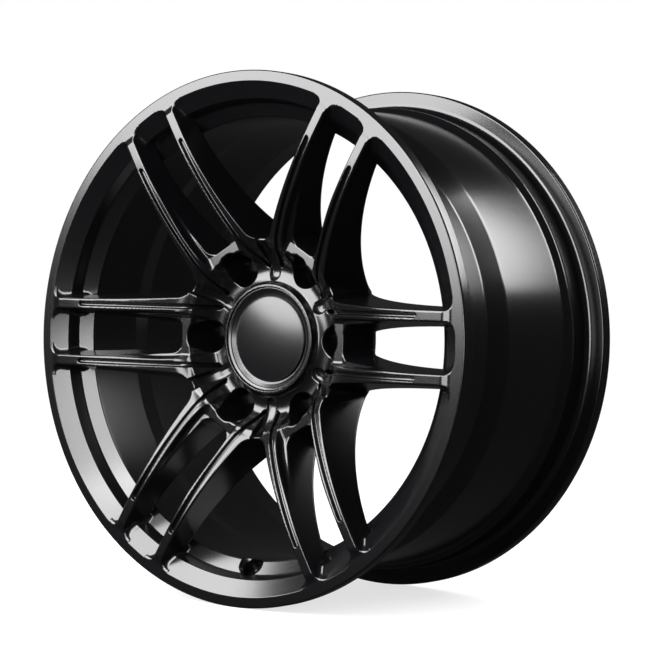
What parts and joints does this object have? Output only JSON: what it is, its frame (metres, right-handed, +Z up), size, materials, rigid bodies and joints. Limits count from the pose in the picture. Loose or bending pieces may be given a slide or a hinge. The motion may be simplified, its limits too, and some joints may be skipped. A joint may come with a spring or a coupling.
{
  "type": "racing wheel rim",
  "caption": "Deep forged alloy wheel in satin black with paired, grooved spokes, a stepped lip and a clip-in domed centre cap.",
  "frame": {"origin": "wheel centre, on the axle line, midway between the two bead faces", "axes": "+Y along the axle towards the vehicle (inboard), -Y towards the outboard face, +Z up, with the valve hole at the bottom; one pair of spokes lies along +X"},
  "size_m": [0.4711, 0.2439, 0.4712],
  "materials": {
    "wheel_black": "satin black powder coat over forged aluminium",
    "cap_black": "satin black moulded plastic",
    "cap_disc": "satin black painted pressed disc",
    "cap_foam": "closed-cell adhesive foam",
    "spring_steel": "bright drawn spring wire"
  },
  "bodies": {
    "wheel": {"rim_barrel": "wheel_black", "hub_centre": "wheel_black", "spoke_pair_1": "wheel_black", "spoke_pair_2": "wheel_black", "spoke_pair_3": "wheel_black", "spoke_pair_4": "wheel_black", "spoke_pair_5": "wheel_black", "spoke_pair_6": "wheel_black"},
    "centre_cap": {"cap_body": "cap_black", "cap_face": "cap_disc", "cap_pad": "cap_foam", "cap_spring_ring": "spring_steel"}
  },
  "joints": [
    {"name": "cap_pull", "type": "slide", "parent": "wheel", "child": "centre_cap", "axis": [0, -1, 0], "range_m": [0, 0.04]}
  ]
}
